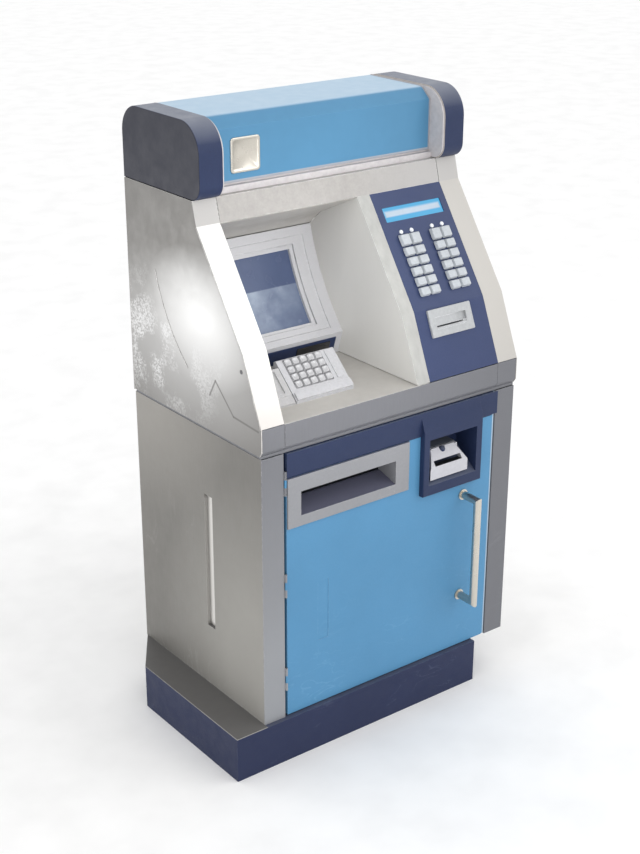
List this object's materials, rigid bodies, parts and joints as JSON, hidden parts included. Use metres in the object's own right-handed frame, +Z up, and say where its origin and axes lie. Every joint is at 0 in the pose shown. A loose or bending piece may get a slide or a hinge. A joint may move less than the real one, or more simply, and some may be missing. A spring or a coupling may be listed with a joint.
{
  "type": "free-standing cash machine",
  "caption": "Lobby cash machine: steel cabinet with a hinged front door, cash tray and card pod, a sloped console with screen bay, keyboard and function keys, and a lit header.",
  "frame": {"origin": "on the floor, at the middle of the cabinet's width and depth", "axes": "+X to the right of a user who faces the machine, +Y towards its back, +Z up"},
  "size_m": [0.86, 0.606, 1.51],
  "materials": {
    "cabinet_steel": "galvanised sheet with a satin clear coat",
    "frame_grey": "grey satin enamel",
    "cream_white": "off-white satin enamel",
    "door_blue": "light blue satin enamel",
    "navy_plastic": "dark blue moulded plastic, fine texture",
    "plinth_navy": "dark blue satin enamel",
    "panel_navy": "dark blue satin enamel",
    "light_cover": "light blue acrylic light cover",
    "bezel_white": "white moulded plastic",
    "tray_grey": "grey moulded plastic",
    "key_white": "white moulded key caps",
    "key_metal": "cast satin-chromed keyboard",
    "screen_glass": "tinted glass",
    "display_glow": "lit display window",
    "tube_glass": "coated tube glass",
    "handle_steel": "satin stainless bar",
    "pin_steel": "turned steel",
    "safe_grey": "dark grey hammered enamel",
    "module_grey": "plain sheet module housings",
    "module_black": "black moulded housings",
    "lamp_white": "opal tube glass"
  },
  "bodies": {
    "cabinet": {"plinth": "plinth_navy", "cabinet_floor": "frame_grey", "left_side_panel": "cabinet_steel", "right_side_panel": "cabinet_steel", "left_pillar": "frame_grey", "right_pillar": "frame_grey", "mid_deck": "frame_grey", "rear_frame": "cabinet_steel", "hinge_pins": "pin_steel", "cable_gland": "module_black", "panel_screws": "pin_steel", "left_cheek": "cabinet_steel", "right_cheek": "cabinet_steel", "corner_blocks": "frame_grey", "console_band": "frame_grey", "top_rail": "frame_grey", "shelf_plate": "frame_grey", "bay_wall": "cream_white", "bay_ceiling": "frame_grey", "monitor_bezel": "bezel_white", "screen_glass": "screen_glass", "picture_tube": "tube_glass", "bay_strip": "navy_plastic", "keyboard_housing": "key_metal", "keyboard_pad": "key_metal", "control_panel": "panel_navy", "display_window": "display_glow", "slot_plate": "bezel_white", "receipt_printer": "module_black", "back_panel": "cabinet_steel", "left_end_cap": "navy_plastic", "right_end_cap": "navy_plastic", "header_panel": "light_cover", "header_body": "cream_white", "header_tubes": "lamp_white", "cash_safe": "safe_grey", "safe_door": "safe_grey", "cash_dispenser": "module_grey", "control_unit": "module_grey"},
    "front_door": {"door_skin": "door_blue", "door_frame": "frame_grey", "fascia_strip": "navy_plastic", "card_nose": "bezel_white", "card_reader": "module_black", "tray_bezel": "tray_grey", "door_handle": "handle_steel"},
    "rear_door": {"rear_door": "cabinet_steel"},
    "rear_lock": {"rear_lock": "pin_steel"},
    "door_latch": {"door_latch": "pin_steel"},
    "tray_shutter": {"tray_shutter": "safe_grey"},
    "cassette_1": {"cassette_1": "module_black"},
    "cassette_2": {"cassette_2": "module_black"},
    "key_row_1": {"key_row_1": "key_metal"},
    "key_column_1": {"key_column_1": "key_white"},
    "key_row_2": {"key_row_2": "key_metal"},
    "key_column_2": {"key_column_2": "key_white"},
    "key_row_3": {"key_row_3": "key_metal"},
    "key_column_3": {"key_column_3": "key_white"},
    "key_row_4": {"key_row_4": "key_metal"},
    "key_column_4": {"key_column_4": "key_white"}
  },
  "joints": [
    {"name": "front_door_hinge", "type": "hinge", "parent": "cabinet", "child": "front_door", "pos_m": [-0.3207, -0.2675, 0.46], "axis": [0, 0, -1], "range_deg": [0, 100]},
    {"name": "rear_door_hinge", "type": "hinge", "parent": "cabinet", "child": "rear_door", "pos_m": [0.297, 0.2675, 0.46], "axis": [0, 0, -1], "range_deg": [0, 110]},
    {"name": "rear_lock_turn", "type": "hinge", "parent": "rear_door", "child": "rear_lock", "pos_m": [-0.27, 0.2665, 0.46], "axis": [0, 1, 0], "range_deg": [0, 90]},
    {"name": "door_latch_slide", "type": "slide", "parent": "front_door", "child": "door_latch", "axis": [1, 0, 0], "range_m": [0, 0.01]},
    {"name": "tray_shutter_slide", "type": "slide", "parent": "front_door", "child": "tray_shutter", "axis": [0, 0, 1], "range_m": [0, 0.042]},
    {"name": "cassette_1_slide", "type": "slide", "parent": "cabinet", "child": "cassette_1", "axis": [0, 1, 0], "range_m": [0, 0.03]},
    {"name": "cassette_2_slide", "type": "slide", "parent": "cabinet", "child": "cassette_2", "axis": [0, 1, 0], "range_m": [0, 0.03]},
    {"name": "key_row_1_press", "type": "slide", "parent": "cabinet", "child": "key_row_1", "axis": [0, 0.6691, -0.7431], "range_m": [0, 0.0024], "stiffness_N_per_m": 600, "springref_m": -0.001},
    {"name": "key_column_1_press", "type": "slide", "parent": "cabinet", "child": "key_column_1", "axis": [0, 0.8217, -0.5699], "range_m": [0, 0.0024], "stiffness_N_per_m": 600, "springref_m": -0.001},
    {"name": "key_row_2_press", "type": "slide", "parent": "cabinet", "child": "key_row_2", "axis": [0, 0.6691, -0.7431], "range_m": [0, 0.0024], "stiffness_N_per_m": 600, "springref_m": -0.001},
    {"name": "key_column_2_press", "type": "slide", "parent": "cabinet", "child": "key_column_2", "axis": [0, 0.8217, -0.5699], "range_m": [0, 0.0024], "stiffness_N_per_m": 600, "springref_m": -0.001},
    {"name": "key_row_3_press", "type": "slide", "parent": "cabinet", "child": "key_row_3", "axis": [0, 0.6691, -0.7431], "range_m": [0, 0.0024], "stiffness_N_per_m": 600, "springref_m": -0.001},
    {"name": "key_column_3_press", "type": "slide", "parent": "cabinet", "child": "key_column_3", "axis": [0, 0.8217, -0.5699], "range_m": [0, 0.0024], "stiffness_N_per_m": 600, "springref_m": -0.001},
    {"name": "key_row_4_press", "type": "slide", "parent": "cabinet", "child": "key_row_4", "axis": [0, 0.6691, -0.7431], "range_m": [0, 0.0024], "stiffness_N_per_m": 600, "springref_m": -0.001},
    {"name": "key_column_4_press", "type": "slide", "parent": "cabinet", "child": "key_column_4", "axis": [0, 0.8217, -0.5699], "range_m": [0, 0.0024], "stiffness_N_per_m": 600, "springref_m": -0.001}
  ]
}
